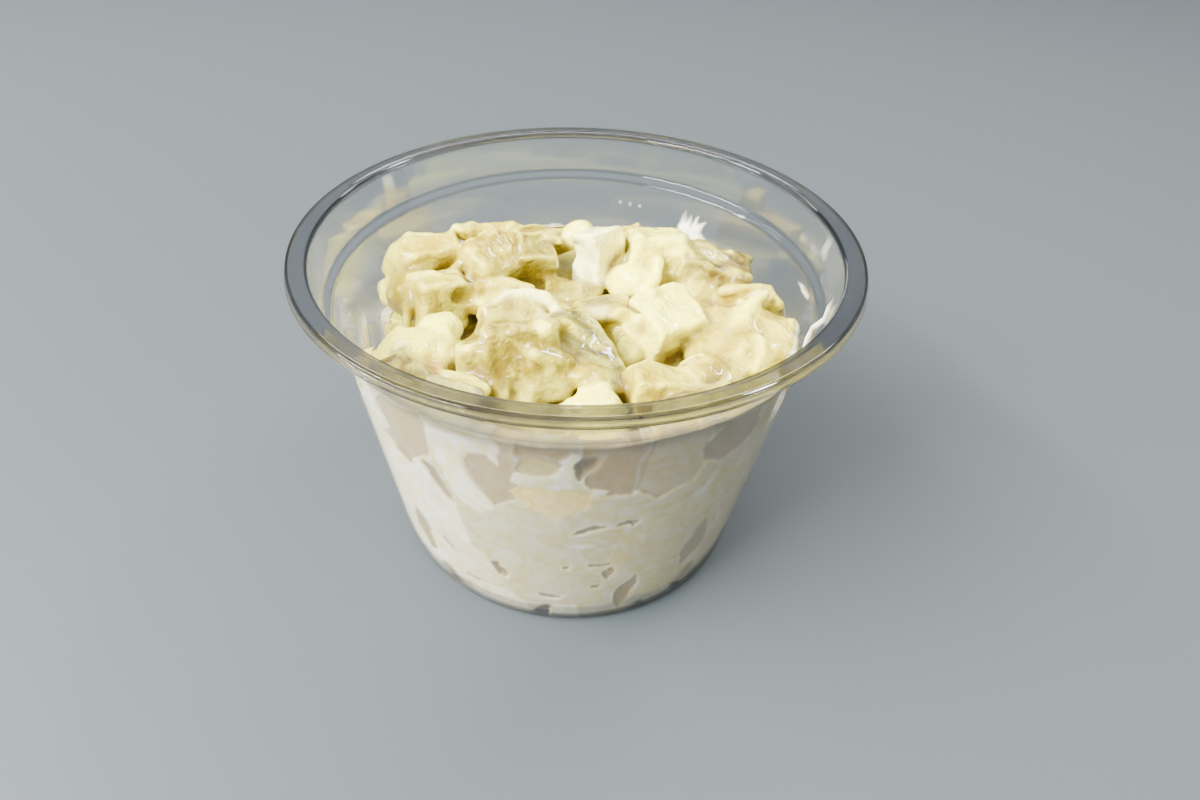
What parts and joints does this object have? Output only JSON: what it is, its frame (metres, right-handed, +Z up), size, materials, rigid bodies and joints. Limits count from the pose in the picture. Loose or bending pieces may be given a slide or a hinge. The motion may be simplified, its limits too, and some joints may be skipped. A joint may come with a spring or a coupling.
{
  "type": "potato salad in a clear plastic cup",
  "caption": "Chunky potato salad with egg and onion in a cream dressing, filling a round clear plastic deli cup with a flanged rim, shown without its lid.",
  "frame": {"origin": "middle of the underside of the cup's flat base", "axes": "+Z up through the mouth of the cup, -Y towards the eater, +X to the eater's right"},
  "size_m": [0.121, 0.121, 0.0789],
  "materials": {
    "clear_plastic": "clear, smooth and glossy thin formed plastic",
    "salad": "pale cream dressing, moist, over yellow potato, white egg and translucent onion"
  },
  "bodies": {
    "root": {"cup": "clear_plastic", "potato_salad": "salad"}
  },
  "joints": []
}
